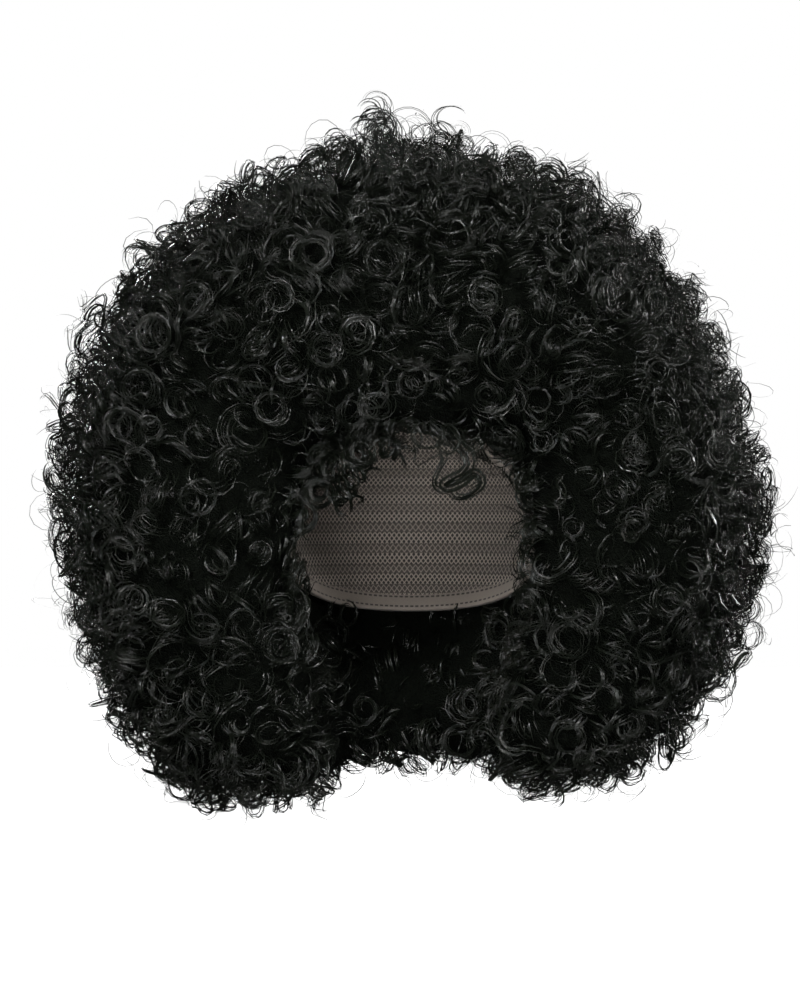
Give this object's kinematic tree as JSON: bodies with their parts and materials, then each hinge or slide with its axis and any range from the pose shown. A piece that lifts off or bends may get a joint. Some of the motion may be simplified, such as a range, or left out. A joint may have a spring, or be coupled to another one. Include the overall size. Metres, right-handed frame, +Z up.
{
  "type": "afro wig",
  "caption": "Very large round curly wig on a stretch cap that grips the head, open over the face and at the neck, with loose ringlets on the forehead.",
  "frame": {"origin": "the inside of the cap's crown, where the top of the head touches it", "axes": "+Z up, the face opening towards -Y, +X to the right as seen by someone who looks at the face"},
  "size_m": [0.4253, 0.3514, 0.425],
  "materials": {
    "cap_net": "taupe stretch net with sewn rows of hair and a bound edge, matt",
    "curly_hair": "black synthetic hair set in tight curls, with a soft silky shine",
    "ringlet_hair": "black synthetic hair in loose ringlets, with a soft silky shine"
  },
  "bodies": {
    "root": {"wig_cap": "cap_net", "hair_crown": "curly_hair", "hair_front": "curly_hair", "hair_left": "curly_hair", "hair_right": "curly_hair", "hair_back": "curly_hair", "fringe": "ringlet_hair"}
  },
  "joints": []
}
